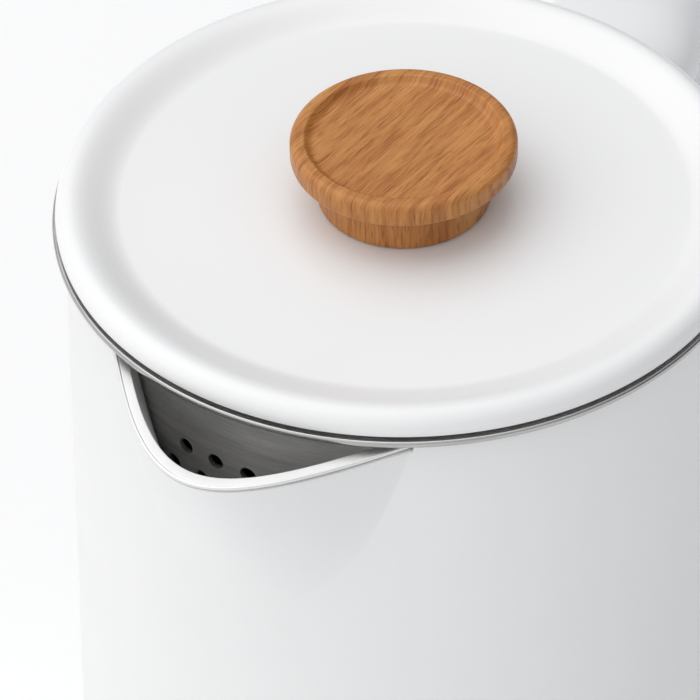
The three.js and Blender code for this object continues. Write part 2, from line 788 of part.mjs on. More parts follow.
function pad(radius, x, y) {
  return turned([
    [0, 0],
    [radius - 0.6, 0],
    [radius, 0.6],
    [radius, FOOT_HEIGHT - GAP],
    [0, FOOT_HEIGHT - GAP],
  ], 16).translate([x, y, 0]);
}

// ---------------------------------------------------------------- the whole kettle
function buildBase() {
  add("base_cover", baseCover(), WHITE);
  add("base_plate", basePlate(), WHITE);
  add("base_coupler", baseCoupler(), BLACK);
  add("base_contact_outer", contactRing(11.1, 17.3, 24), BRASS);
  add("base_contact_inner", contactRing(4.8, 17.3, 24), BRASS);
  add("cord_gland", cordGland(), BLACK);
  add("base_centre_pad", pad(12, 0, 0), RUBBER);
  FOOT_ANGLES.forEach((angle, i) => {
    const { x, y } = polar(angle, FOOT_RADIUS, 0);
    add(`base_foot_${i + 1}`, pad(7, x, y), RUBBER);
  });
  BASE_SCREW_ANGLES.forEach((angle, i) => {
    const { x, y } = polar(angle, BASE_SCREW_RADIUS, 0);
    add(`base_screw_${i + 1}`, screw(x, y, 3, 8), STEEL);
  });
}

function buildJug() {
  add("outer_shell", outerShell(), WHITE);
  add("inner_vessel", innerVessel(), DARK_STEEL);
  add("rim_ring", rimRing(), STEEL);
  add("spout_funnel", spoutFunnel(), STEEL);
  add("handle_shell", handleShell(), WHITE);
  add("handle_inner_cover", handleInnerCover(), WHITE);
  add("handle_screw_upper", handleScrew(HANDLE_SCREWS[0]), STEEL);
  add("handle_screw_lower", handleScrew(HANDLE_SCREWS[1]), STEEL);
  add("steam_tube", steamTube(), SILICONE);
  add("bottom_cover", bottomCover(), BLACK);
  BOSS_ANGLES.forEach((angle, i) => {
    const { x, y } = polar(angle, BOSS_RADIUS, 0);
    add(`bottom_screw_${i + 1}`, screw(x, y, 16.9, 10, 2.9, 1.2), STEEL);
  });
}

function buildHeaterAndControl() {
  add("heater_plate", heaterPlate(), ALUMINIUM);
  add("heating_element", heatingElement(), DARK_STEEL);
  add("element_terminal_1", elementTerminal(1), STEEL);
  add("element_terminal_2", elementTerminal(-1), STEEL);
  add("control_unit", controlUnit(), BLACK);
  add("jug_coupler", jugCoupler(), BLACK);
  add("jug_contact_outer", contactRing(OUTER_CONTACT, 18.5, CONTACT_TOP), BRASS);
  add("jug_contact_inner", contactRing(INNER_CONTACT, 18.5, CONTACT_TOP), BRASS);
  add("earth_pin", earthPin(), STEEL);
  add("switch_pivot_pin", switchPivotPin(), STEEL);
  add("switch_lever", switchLever(), WHITE);
}

function buildLid() {
  add("lid_cover", lidCover(), WHITE);
  add("lid_insert", lidInsert(), STEEL);
  add("lid_seal", lidSeal(), SILICONE);
  add("knob", knob(), WOOD);
  add("knob_washer", knobWasher(), STEEL);
  add("knob_screw", screw(0, 0, PANEL_Z - PANEL_WALL - 1.5, 10.5, 3.6, 1.4), STEEL);
}

buildBase();
buildJug();
buildHeaterAndControl();
buildLid();

export default kettle;
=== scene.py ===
"""Looks for a cordless electric jug kettle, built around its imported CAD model.

The frame is the CAD's: +Z up, the origin on the jug's axis and on the plane that the base stands on,
the spout towards -Y and the handle towards +Y. Shapes are worked out in millimetres and made in metres.
"""
import math

import bmesh
import bpy
from mathutils import Matrix, Vector
from mathutils.geometry import tessellate_polygon


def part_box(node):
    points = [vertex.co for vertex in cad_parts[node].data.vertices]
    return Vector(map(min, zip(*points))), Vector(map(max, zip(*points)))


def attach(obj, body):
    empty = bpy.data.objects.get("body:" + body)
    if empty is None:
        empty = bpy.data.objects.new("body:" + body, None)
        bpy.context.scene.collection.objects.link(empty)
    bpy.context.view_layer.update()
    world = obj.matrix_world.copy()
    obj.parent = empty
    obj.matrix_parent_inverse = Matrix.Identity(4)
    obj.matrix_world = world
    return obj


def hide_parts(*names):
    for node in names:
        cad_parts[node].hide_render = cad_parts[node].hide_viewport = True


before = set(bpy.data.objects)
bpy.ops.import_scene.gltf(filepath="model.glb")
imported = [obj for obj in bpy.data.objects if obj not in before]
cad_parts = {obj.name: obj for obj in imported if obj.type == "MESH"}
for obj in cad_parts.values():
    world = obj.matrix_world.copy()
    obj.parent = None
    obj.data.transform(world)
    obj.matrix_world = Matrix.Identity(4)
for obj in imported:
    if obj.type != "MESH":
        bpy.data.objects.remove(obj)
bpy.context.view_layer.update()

# ---------------------------------------------------------------- driving dimensions
MM = 0.001
GAP = 0.3


def node_box(node):
    """The lowest and highest corner of a CAD node, in millimetres."""
    low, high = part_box(node)
    return Vector(low) / MM, Vector(high) / MM


RING_TOP = node_box("rim_ring")[1].z
RING_THICKNESS = 1.5
RING_RADIUS = 70.7
RING_INNER = 64.8
LID_Z = RING_TOP + 0.4  # the lid's lower edge
LID_RADIUS = 70.0
LID_RIM_RADIUS = 3.6
PANEL_Z = LID_Z + 1.4  # top of the lid's flat panel
PANEL_WALL = 2.0
PANEL_RADIUS = 57.0
INSERT_RADIUS = 61.2  # the steel cup that hangs under the lid
INSERT_FACE = 185.8  # its lowest face
SEAL_RADIUS = 62.4
KNOB_RADIUS = 22.6
KNOB_NECK = 17.4
KNOB_DISC = 5.2  # thickness of its disc
KNOB_TOP = node_box("knob")[1].z
KNOB_DISH = 1.5  # depth of the dish in its top
KNOB_BORE = 1.8

SHELL_TOP = RING_TOP - RING_THICKNESS - GAP
SHELL_BOTTOM = node_box("outer_shell")[0].z
SHELL_TOP_RADIUS = 68.4
SHELL_TAPER = 0.044  # growth of the radius for each millimetre down
SHELL_WALL = 2.0
VESSEL_RADIUS = 65.5
VESSEL_WALL = 1.0
VESSEL_BOTTOM = node_box("inner_vessel")[0].z

LIP_Z = node_box("spout_funnel")[1].z  # top of the steel lip
LIP_THICKNESS = 0.9
LIP_WIDTH = 3.5
BEAK_TIP = 88.0  # reach of the beak from the axis
BEAK_BLUNTNESS = 37.3  # the larger it is, the blunter the tip, seen from above
BEAK_STEEPNESS = 1.63  # slope of its sides, far from the tip
BEAK_SPREAD = math.radians(28.8)  # half the angle that the beak takes of the rim
BEAK_DEPTH = 45.0
BEAK_FULLNESS = 2.7  # exponent of the beak's lower outline
BEAK_SLOPE = 1.25  # exponent of its run down into the body
LINING_SPREAD = math.radians(25)  # half the angle of the steel lining below the lip

HOLE_RADIUS = 1.75
HOLE_STEP = math.radians(6.5)
HOLE_ROW_Z = 176.0
HOLE_ROW_STEP = 6.4

ARM_TOP_Z = LID_Z - 31.4
ARM_LOW_Z = 62.0
HANDLE_WALL = 2.4
GRIP_HALF_WIDTH = 13.0
ROOT_EXTRA_WIDTH = 7.0  # how much wider each side of the upper arm is
ROOT_START = 0.2  # where the arm starts to narrow to the grip, along the handle from 0 to 1
ROOT_END = 0.34
HANDLE_START = 0.106  # where the trough leaves and meets the body, along the route from 0 to 1
HANDLE_END = 0.914
HANDLE_SCREWS = (0.37, 0.63)
SCREW_OFFSET = -3.6
SCREW_RECESS = 0.9

BASE_RADIUS = 78.0
BASE_TOP = node_box("base_cover")[1].z
FOOT_HEIGHT = node_box("base_plate")[0].z
TOWER_RADIUS = 16.4
TOWER_TOP = node_box("base_coupler")[1].z
COUPLER_TOP = node_box("jug_coupler")[1].z
CONTACT_TOP = TOWER_TOP + 2 - GAP  # upper end of the jug's contacts
CONTACT_WALL = 0.8
BASE_SCREW_RADIUS = 54.0
FOOT_RADIUS = 7.0
CENTRE_PAD_RADIUS = 12.0
CORD_Z = 6.0  # height of the cord's hole
BOSS_ANGLES = [math.radians(a) for a in (0, 120, 240)]
BOSS_RADIUS = 67.0
LEVER_PIVOT = (66.5, 26.0)  # its Y and Z
LEVER_HALF_WIDTH = 11.5
PIN_HOLE_RADIUS = 1.8

FINE = 256  # segments of a turned piece with a broad shiny edge
ROUND = 192  # of a large one
SMALL = 64


# ---------------------------------------------------------------- mesh tools
def new_object(name, vertices, faces, sharp=32):
    mesh = bpy.data.meshes.new(name)
    mesh.from_pydata([Vector(v) * MM for v in vertices], [], faces)
    obj = bpy.data.objects.new(name, mesh)
    bpy.context.scene.collection.objects.link(obj)
    clean(obj, sharp)
    return obj


def clean(obj, sharp=32):
    """Welds a mesh, turns its faces outwards, and shades it smooth between edges over an angle."""
    work = bmesh.new()
    work.from_mesh(obj.data)
    bmesh.ops.remove_doubles(work, verts=work.verts, dist=2e-6)
    bmesh.ops.recalc_face_normals(work, faces=work.faces)
    work.to_mesh(obj.data)
    work.free()
    for polygon in obj.data.polygons:
        polygon.use_smooth = True
    obj.data.set_sharp_from_angle(angle=math.radians(sharp))
    if "even_shading" not in obj.modifiers:
        weighted = obj.modifiers.new("even_shading", "WEIGHTED_NORMAL")
        weighted.keep_sharp = True


def polar(angle, radius, z):
    """A point at an angle from the spout, positive towards +X."""
    return (radius * math.sin(angle), -radius * math.cos(angle), z)


def turned(name, profile, segments=ROUND, centre=(0, 0), sharp=32):
    """A profile of (radius, z) points turned about a vertical line. It ends on the axis or is closed."""
    vertices, rings = [], []
    for radius, z in profile:
        first = len(vertices)
        if radius == 0:
            vertices.append((centre[0], centre[1], z))
            rings.append([first])
            continue
        for i in range(segments):
            x, y, _ = polar(2 * math.pi * i / segments, radius, z)
            vertices.append((centre[0] + x, centre[1] + y, z))
        rings.append(list(range(first, first + segments)))
    on_axis = profile[0][0] == 0 and profile[-1][0] == 0
    following = rings[1:] if on_axis else rings[1:] + rings[:1]
    faces = []
    for a, b in zip(rings, following):
        faces += band(a, b, segments)
    return new_object(name, vertices, faces, sharp)


def band(a, b, segments):
    """The faces between two rings of vertices, either of which may be a single point."""
    faces = []
    for i in range(segments):
        j = (i + 1) % segments
        corners = [a[i % len(a)], a[j % len(a)], b[j % len(b)], b[i % len(b)]]
        unique = list(dict.fromkeys(corners))
        if len(unique) > 2:
            faces.append(tuple(unique))
    return faces


def rounded(corners, steps=6):
    """A closed outline through corners (u, v), or (u, v, radius) where the corner is filleted."""
    outline = []
    for i, corner in enumerate(corners):
        here = Vector(corner[:2])
        if len(corner) == 2:
            outline.append(tuple(here))
            continue
        before = (Vector(corners[i - 1][:2]) - here).normalized()
        after = (Vector(corners[(i + 1) % len(corners)][:2]) - here).normalized()
        half = before.angle(after) / 2
        centre = here + (before + after).normalized() * (corner[2] / math.sin(half))
        reach = corner[2] / math.tan(half)
        start = here + before * reach - centre
        sweep = start.angle_signed(here + after * reach - centre)
        for s in range(steps + 1):
            turn = Matrix.Rotation(-sweep * s / steps, 2)
            outline.append(tuple(centre + turn @ start))
    return outline


def arc(u, v, radius, start, end, steps=10):
    """Points on an arc, from one angle to another in degrees."""
    angles = [math.radians(start + (end - start) * i / steps) for i in range(steps + 1)]
    return [(u + radius * math.cos(a), v + radius * math.sin(a)) for a in angles]


def lofted(name, outlines, in_ring=False, sharp=32):
    """Joins equal closed outlines into one body: in a ring, or with a cap at each end."""
    count = len(outlines[0])
    vertices = [point for outline in outlines for point in outline]
    faces = []
    for s in range(len(outlines) if in_ring else len(outlines) - 1):
        here = s * count
        after = (s + 1) % len(outlines) * count
        for i in range(count):
            j = (i + 1) % count
            faces.append((here + i, here + j, after + j, after + i))
    if not in_ring:
        for first in (0, (len(outlines) - 1) * count):
            outline = [Vector(p) for p in vertices[first : first + count]]
            faces += [tuple(first + k for k in face) for face in tessellate_polygon([outline])]
    return new_object(name, vertices, faces, sharp)


def rod(name, start, end, radius, segments=24):
    """A round bar between two points."""
    start, end = Vector(start), Vector(end)
    turn = (end - start).to_track_quat("Z", "Y")
    ring = [Vector((radius * math.cos(a), radius * math.sin(a), 0)) for a in full_turn(segments)]
    return lofted(name, [[middle + turn @ p for p in ring] for middle in (start, end)])


def full_turn(count):
    return [2 * math.pi * i / count for i in range(count)]


def block(name, low, high, corner=0.0):
    """An upright block. Its vertical edges are rounded if it has a corner radius."""
    fillet = (corner,) if corner else ()
    corners = [(low[0], low[1]), (high[0], low[1]), (high[0], high[1]), (low[0], high[1])]
    outline = rounded([(*c, *fillet) for c in corners])
    return lofted(name, [[(x, y, z) for x, y in outline] for z in (low[2], high[2])])


def cut(obj, *cutters, operation="DIFFERENCE"):
    """Takes the cutters out of obj, or joins them to it, and leaves a plain mesh."""
    obj.modifiers.clear()
    for cutter in cutters:
        modifier = obj.modifiers.new("cut", "BOOLEAN")
        modifier.operation = operation
        modifier.solver = "EXACT"
        modifier.object = cutter
    evaluated = obj.evaluated_get(bpy.context.evaluated_depsgraph_get())
    mesh = bpy.data.meshes.new_from_object(evaluated)
    obj.modifiers.clear()
    obj.data = mesh
    mesh.name = obj.name
    for cutter in cutters:
        bpy.data.objects.remove(cutter)
    clean(obj)
    return obj


def place(obj, body, material, slot, *nodes):
    """Gives a finished piece its material and the body it rides on, and hides the CAD nodes that it stands
    for.
    """
    obj.data.materials.clear()
    obj.data.materials.append(material)
    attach(obj, body)
    if nodes:
        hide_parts(*nodes)
    return obj


# ---------------------------------------------------------------- materials
class Look:
    """One node material, with short ways to add to it."""

    def __init__(self, name, roughness, metallic=0.0, **sockets):
        self.material = bpy.data.materials.new(name)
        self.material.use_nodes = True
        self.tree = self.material.node_tree
        self.shader = self.tree.nodes["Principled BSDF"]
        self.shader.inputs["Roughness"].default_value = roughness
        self.shader.inputs["Metallic"].default_value = metallic
        for socket, value in sockets.items():
            self.shader.inputs[socket.replace("_", " ")].default_value = value
        self.place = self.add("ShaderNodeTexCoord").outputs["Object"]

    def add(self, kind, inputs=None, **settings):
        node = self.tree.nodes.new(kind)
        for name, value in settings.items():
            setattr(node, name, value)
        for name, value in (inputs or {}).items():
            self.give(node.inputs[name], value)
        return node

    def give(self, socket, value):
        if isinstance(value, bpy.types.NodeSocket):
            self.tree.links.new(value, socket)
        else:
            socket.default_value = value

    def maths(self, operation, a, b=0.0):
        return self.add("ShaderNodeMath", {0: a, 1: b}, operation=operation).outputs[0]

    def stretched(self, x, y, z, turn=0.0):
        """Object coordinates, turned about Z and then scaled along each axis."""
        turned_place = self.add("ShaderNodeMapping", {"Vector": self.place, "Rotation": (0, 0, turn)})
        scaled = {0: turned_place.outputs[0], 1: (x, y, z)}
        return self.add("ShaderNodeVectorMath", scaled, operation="MULTIPLY").outputs[0]

    def around_axis(self, along, across, height):
        """Coordinates wound round Z: the angle, the distance from Z and the height, each scaled."""
        x, y, z = self.add("ShaderNodeSeparateXYZ", {0: self.place}).outputs
        angle = self.maths("ARCTAN2", y, x)
        x_square, y_square = (self.maths("MULTIPLY", part, part) for part in (x, y))
        radius = self.maths("SQRT", self.maths("ADD", x_square, y_square))
        scaled = {
            0: self.maths("MULTIPLY", angle, along),
            1: self.maths("MULTIPLY", radius, across),
            2: self.maths("MULTIPLY", z, height),
        }
        return self.add("ShaderNodeCombineXYZ", scaled).outputs[0]

    def noise(self, vector, scale, detail=3.0, roughness=0.5, distortion=0.0):
        inputs = {"Vector": vector, "Scale": scale, "Detail": detail}
        inputs |= {"Roughness": roughness, "Distortion": distortion}
        return self.add("ShaderNodeTexNoise", inputs).outputs["Fac"]

    def ramp(self, factor, *stops):
        """Colours from (position, colour) stops."""
        node = self.add("ShaderNodeValToRGB", {0: factor})
        elements = node.color_ramp.elements
        while len(elements) < len(stops):
            elements.new(0.5)
        for element, (position, colour) in zip(elements, stops):
            element.position = position
            element.color = (*colour, 1)
        return node.outputs["Color"]

    def between(self, factor, low, high, start=0.3, end=0.7):
        """A number from low to high as a factor goes from start to end."""
        inputs = {"Value": factor, "From Min": start, "From Max": end, "To Min": low, "To Max": high}
        return self.add("ShaderNodeMapRange", inputs).outputs[0]

    def mixed(self, factor, a, b, blend="MIX"):
        """Two colours mixed. The node's colour sockets share their names, so they go by number."""
        node = self.add("ShaderNodeMix", data_type="RGBA", blend_type=blend)
        self.give(node.inputs[0], factor)
        self.give(node.inputs[6], a)
        self.give(node.inputs[7], b)
        return node.outputs[2]

    def colour(self, value):
        self.give(self.shader.inputs["Base Color"], value)

    def roughness(self, value):
        self.give(self.shader.inputs["Roughness"], value)

    def bumps(self, *layers):
        """Adds bump layers of (height, distance in metres), one on the other."""
        normal = None
        for height, distance in layers:
            inputs = {"Height": height, "Distance": distance, "Strength": 1.0}
            node = self.add("ShaderNodeBump", inputs)
            if normal is not None:
                self.give(node.inputs["Normal"], normal)
            normal = node.outputs[0]
        self.give(self.shader.inputs["Normal"], normal)


def grey(value, tint=(1.0, 1.0, 1.0)):
    return tuple(value * t for t in tint)


def satin_paint():
    """The white finish of the shell and the lid: a faint orange peel and the odd trace of handling."""
    look = Look("satin_paint", 0.34, Specular_IOR_Level=0.5, Coat_Weight=0.15, Coat_Roughness=0.2)
    cloud = look.noise(look.place, 14, 3)
    look.colour(look.ramp(cloud, (0.3, grey(0.84, (0.995, 1.0, 1.0))), (0.7, grey(0.86))))
    handled = look.noise(look.place, 45, 4, 0.6)
    look.roughness(look.between(handled, 0.31, 0.39))
    look.bumps((look.noise(look.place, 420, 2), 0.000012), (look.noise(look.place, 2600, 1), 0.000002))
    return look.material


def moulded_plastic(name, colour, base_roughness, grain=0.000006):
    """Injection-moulded plastic with a fine spark-eroded grain and faint flow marks."""
    look = Look(name, base_roughness, Specular_IOR_Level=0.45)
    flow = look.noise(look.stretched(30, 30, 9), 1, 3)
    look.colour(look.ramp(flow, (0.3, grey(0.97, colour)), (0.7, colour)))
    worn = look.noise(look.place, 70, 4, 0.6)
    look.roughness(look.between(worn, base_roughness - 0.03, base_roughness + 0.05))
    look.bumps((look.noise(look.place, 3200, 2), grain), (look.noise(look.place, 240, 2), grain * 1.4))
    return look.material


def brushed_round(name, light, dark, base_roughness, lines=5200, depth=0.000004, turning=0.6):
    """Metal brushed round the axis: long fine scratches, with broad bands of tone between them."""
    look = Look(name, base_roughness, 1.0, Anisotropic=turning)
    fine = look.noise(look.around_axis(7, lines, lines), 1, 3, 0.65)
    broad = look.noise(look.around_axis(2.2, lines / 9, lines / 9), 1, 3, 0.6)
    tone = look.mixed(0.45, fine, broad)
    look.colour(look.ramp(tone, (0.32, dark), (0.66, light)))
    look.roughness(look.between(fine, base_roughness - 0.05, base_roughness + 0.09))
    look.bumps((fine, depth))
    tangent = look.add("ShaderNodeTangent", direction_type="RADIAL", axis="Z")
    look.give(look.shader.inputs["Tangent"], tangent.outputs[0])
    return look.material


def satin_steel():
    """The folded lip: bead-blasted steel, even and soft, with tiny pits."""
    look = Look("satin_steel", 0.5, 1.0)
    pits = look.noise(look.place, 2600, 2)
    cloud = look.noise(look.place, 60, 3)
    look.colour(look.ramp(cloud, (0.3, (0.84, 0.84, 0.83)), (0.7, (0.92, 0.92, 0.91))))
    look.roughness(look.between(pits, 0.46, 0.6))
    look.bumps((pits, 0.000006))
    return look.material


def bare_metal(name, light, dark, base_roughness):
    """Small turned or pressed metal parts: soft scratches every way, with a stain here and there."""
    look = Look(name, base_roughness, 1.0)
    scratches = look.noise(look.stretched(900, 2600, 900, 0.6), 1, 4, 0.7, 0.4)
    stain = look.noise(look.place, 90, 4, 0.6)
    look.colour(look.mixed(look.between(stain, 0.0, 0.5), (*light, 1), (*dark, 1)))
    look.roughness(look.between(scratches, base_roughness - 0.06, base_roughness + 0.1))
    look.bumps((scratches, 0.000005))
    return look.material


def soft_rubber(name, colour, base_roughness):
    """Rubber or silicone: matt, with a dusty mottle and a fine skin."""
    look = Look(name, base_roughness, Specular_IOR_Level=0.35)
    dust = look.noise(look.place, 160, 4, 0.65)
    look.colour(look.ramp(dust, (0.3, grey(0.85, colour)), (0.75, grey(1.12, colour))))
    look.roughness(look.between(dust, base_roughness - 0.06, base_roughness + 0.04))
    look.bumps((look.noise(look.place, 1800, 3), 0.00001))
    return look.material


GRAIN_TURN = math.radians(8)  # the wood pattern runs front to back, this much off straight


def wood_print():
    """A wood pattern printed on the knob: it runs front to back on top and down the sides."""
    look = Look("wood_print", 0.42, Specular_IOR_Level=0.35, Coat_Weight=0.06, Coat_Roughness=0.3)
    bands = look.noise(look.stretched(300, 40, 40, GRAIN_TURN), 1, 3, 0.6, 1.0)
    fibres = look.noise(look.stretched(2100, 95, 95, GRAIN_TURN), 1, 4, 0.65, 0.35)
    pores = look.noise(look.stretched(3800, 240, 240, GRAIN_TURN), 1, 2, 0.5)
    tone = look.mixed(0.55, bands, fibres)
    figure = look.ramp(
        tone,
        (0.34, (0.300, 0.098, 0.020)),
        (0.43, (0.400, 0.146, 0.033)),
        (0.51, (0.480, 0.196, 0.050)),
        (0.64, (0.580, 0.270, 0.080)),
    )
    pore_shade = look.ramp(pores, (0.34, (0.62, 0.5, 0.42)), (0.44, (1, 1, 1)))
    look.colour(look.mixed(0.75, figure, pore_shade, "MULTIPLY"))
    look.roughness(look.between(fibres, 0.36, 0.5))
    look.bumps((pores, 0.000012), (fibres, 0.000008))
    return look.material


def floor_paint():
    """The studio's floor: matt and pale, with a slight mottle."""
    look = Look("floor_paint", 0.8, Specular_IOR_Level=0.2)
    look.colour(look.ramp(look.noise(look.place, 3, 2), (0.3, grey(0.93)), (0.7, grey(0.95))))
    look.bumps((look.noise(look.place, 300, 2), 0.00001))
    return look.material


WHITE_PAINT = satin_paint()
WHITE_PLASTIC = moulded_plastic("white_plastic", (0.84, 0.845, 0.85), 0.36)
BLACK_PLASTIC = moulded_plastic("black_plastic", (0.022, 0.023, 0.025), 0.5, 0.00001)
RING_STEEL = brushed_round("ring_steel", (0.56, 0.56, 0.55), (0.38, 0.38, 0.37), 0.24)
VESSEL_STEEL = brushed_round("vessel_steel", (0.98, 0.97, 0.96), (0.64, 0.635, 0.63), 0.48, 4200)
LIP_STEEL = satin_steel()
SCREW_STEEL = bare_metal("screw_steel", (0.62, 0.62, 0.61), (0.42, 0.41, 0.40), 0.3)
BRASS = bare_metal("brass", (0.78, 0.56, 0.23), (0.55, 0.36, 0.13), 0.26)
ALUMINIUM = bare_metal("aluminium", (0.68, 0.69, 0.70), (0.50, 0.50, 0.51), 0.4)
ELEMENT_STEEL = bare_metal("element_steel", (0.32, 0.31, 0.30), (0.19, 0.17, 0.16), 0.45)
SILICONE = soft_rubber("silicone", (0.66, 0.67, 0.68), 0.62)
RUBBER = soft_rubber("rubber", (0.045, 0.046, 0.049), 0.8)
WOOD = wood_print()


# ---------------------------------------------------------------- body and beak
def body_radius(z):
    return SHELL_TOP_RADIUS + SHELL_TAPER * (SHELL_TOP - z)


def beak_radius(angle, inset):
    """The beak's distance from the axis: a hyperbola seen from above, moved inwards by inset."""
    blunt = BEAK_BLUNTNESS - inset * (math.hypot(1, BEAK_STEEPNESS) - 1)
    middle = BEAK_TIP - inset + blunt
    side, ahead = BEAK_STEEPNESS * math.sin(angle), math.cos(angle)
    room = middle**2 - blunt**2
    root = math.sqrt((middle * ahead) ** 2 + (side**2 - ahead**2) * room)
    return room / (middle * ahead + root)


def beak_depth(angle):
    across = min(1, abs(angle) / BEAK_SPREAD)
    return BEAK_DEPTH * (1 - across**BEAK_FULLNESS)


def shell_radius(angle, z, inset):
    body = body_radius(z) - inset
    if abs(angle) >= BEAK_SPREAD:
        return body
    reach = max(0, beak_radius(angle, inset) - body_radius(LIP_Z) + inset)
    share = 1 - (LIP_Z - z) / max(beak_depth(angle), 0.01)
    return body + reach * min(1, max(0, share)) ** BEAK_SLOPE


def shell_top(angle):
    return LIP_Z - LIP_THICKNESS - 0.5 if abs(angle) < BEAK_SPREAD + 0.001 else SHELL_TOP


def shell_angles():
    """Angles round the body, close together across the beak."""
    across = 96
    beak = [BEAK_SPREAD * (2 * i / across - 1) for i in range(across + 1)]
    shoulder = BEAK_SPREAD + math.radians(0.35)
    rest = 2 * (math.pi - shoulder)
    count = 168
    return beak + [shoulder + rest * i / count for i in range(count + 1)]


def shell_rows(turn):
    """Heights up the shell. The beak's rows follow its lower outline, so that its crease stays clean."""
    top = shell_top(turn)
    depth = max(beak_depth(turn), 5)
    foot = LIP_Z - depth
    low = [SHELL_BOTTOM + 1 + (foot - SHELL_BOTTOM - 1) * (i / 14) for i in range(14)]
    rows = 26
    return low + [foot + (top - 0.5 - foot) * (i / rows) ** 0.9 for i in range(rows + 1)]


def shell_outline(angle):
    """One upright section of the shell: its outside, its top edge, its inside and its lower edge."""
    turn = angle if angle <= math.pi else angle - 2 * math.pi
    top = shell_top(turn)
    rows = shell_rows(turn)
    outer = [polar(angle, shell_radius(turn, z, 0), z) for z in rows]
    inner = [polar(angle, shell_radius(turn, z, SHELL_WALL), z) for z in reversed(rows[::2])]
    crown = [
        polar(angle, shell_radius(turn, top, 0.15), top - 0.15),
        polar(angle, shell_radius(turn, top, 0.5), top),
        polar(angle, shell_radius(turn, top, SHELL_WALL), top),
    ]
    heel = [
        polar(angle, shell_radius(turn, SHELL_BOTTOM, SHELL_WALL), SHELL_BOTTOM),
        polar(angle, shell_radius(turn, SHELL_BOTTOM, 0.9), SHELL_BOTTOM),
        polar(angle, shell_radius(turn, SHELL_BOTTOM, 0.3), SHELL_BOTTOM + 0.25),
    ]
    return outer + crown + inner + heel


def outer_shell():
    shell = lofted("outer_shell_painted", [shell_outline(a) for a in shell_angles()], in_ring=True, sharp=40)
    return cut(shell, lever_slot())


def lever_slot():
    """The opening low at the back, where the switch lever comes out."""
    outline = rounded([(-13, 20, 2.5), (13, 20, 2.5), (13, 33, 2.5), (-13, 33, 2.5)])
    return lofted("lever_slot", [[(x, y, z) for x, z in outline] for y in (70, 84)])


def inner_vessel():
    """The steel vessel, a round-bottomed can, with the strainer's rows of holes behind the beak."""
    floor = VESSEL_BOTTOM + VESSEL_WALL
    inner = VESSEL_RADIUS - VESSEL_WALL
    profile = [(0, VESSEL_BOTTOM)]
    profile += arc(VESSEL_RADIUS - 6, VESSEL_BOTTOM + 6, 6, -90, 0)
    profile += [(VESSEL_RADIUS, z) for z in (100, 150, SHELL_TOP)]
    profile += [(inner, z) for z in (SHELL_TOP, 150, 100)]
    profile += arc(inner - 5, floor + 5, 5, 0, -90)
    vessel = turned("inner_vessel_brushed", [*profile, (0, floor)])
    cutters = []
    for row in range(3):
        count = 5 + row % 2
        for i in range(count):
            angle = (i - (count - 1) / 2) * HOLE_STEP
            z = HOLE_ROW_Z - row * HOLE_ROW_STEP
            cutters.append(rod("hole", polar(angle, 60, z), polar(angle, 70, z), HOLE_RADIUS, 32))
    return cut(vessel, *cutters)


def rim_ring():
    low = RING_TOP - RING_THICKNESS
    corners = [
        (RING_INNER, low, 0.3),
        (RING_RADIUS, low, 0.6),
        (RING_RADIUS, RING_TOP, 0.5),
        (RING_INNER, RING_TOP, 0.3),
    ]
    return turned("rim_ring_rolled", rounded(corners), FINE, sharp=50)


def funnel_outline(angle):
    """One section of the spout's steel: up the inside of the beak and folded out into the lip."""
    side = VESSEL_RADIUS + 0.5
    inner = max(beak_radius(angle, LIP_WIDTH), side)
    edge = beak_radius(angle, 0.35)
    across = min(1, abs(angle) / LINING_SPREAD)
    depth = max(0.2, 0.88 * BEAK_DEPTH * (1 - across**BEAK_FULLNESS))
    under = LIP_Z - LIP_THICKNESS
    shares = [1 - i / 16 for i in range(16)]

    def face(share, offset):
        reach = (inner - side) * (1 - 0.88 * share) ** BEAK_SLOPE
        return polar(angle, side + reach + offset, under - depth * share)

    bead = 0.42
    flat = LIP_Z - 0.16
    band_end = edge - 2 * bead
    fold = [
        (inner, under + 0.1),
        (inner + 0.05, flat - 0.2),
        (inner + 0.15, flat - 0.05),
        (inner + 0.3, flat),
    ]
    groove = [(band_end - 0.1, flat), (band_end + 0.05, flat - 0.08)]
    roll = arc(edge - bead, LIP_Z - bead, bead, 150, -60, 9)
    lip = [polar(angle, r, z) for r, z in fold + groove + roll]
    back = [polar(angle, edge - 0.4, under), polar(angle, inner + 0.6, under)]
    return [face(s, 0) for s in shares] + lip + back + [face(s, 0.6) for s in reversed(shares)]


def spout_funnel():
    span = BEAK_SPREAD - math.radians(0.4)
    angles = [span * (i / 60 - 1) for i in range(121)]
    return lofted("spout_funnel_folded", [funnel_outline(a) for a in angles], sharp=50)


# ---------------------------------------------------------------- lid
def lid_cover():
    """The lid's white cover: a flat panel, a soft slope up to the rim, and a rolled edge."""
    edge = LID_RADIUS - LID_RIM_RADIUS
    middle = LID_Z + 1
    crest = middle + LID_RIM_RADIUS
    steps = 22
    slope = []
    for i in range(steps + 1):
        u = i / steps
        eased = u * u * (3 - 2 * u)
        slope.append((PANEL_RADIUS + (edge - PANEL_RADIUS) * u, PANEL_Z + (crest - PANEL_Z) * eased))
    panel = [(r, PANEL_Z) for r in (2.3, 12, 24, 36, 46, 54)]
    rim = arc(edge, middle, LID_RIM_RADIUS, 86, -8, 18)
    under = rounded(
        [
            (LID_RADIUS - 0.25, LID_Z - 0.15, 0.2),
            (62.4, LID_Z, 0.3),
            (61.4, PANEL_Z - PANEL_WALL),
            (2.3, PANEL_Z - PANEL_WALL),
        ]
    )
    return turned("lid_cover_painted", panel + slope + rim + under[1:], FINE)


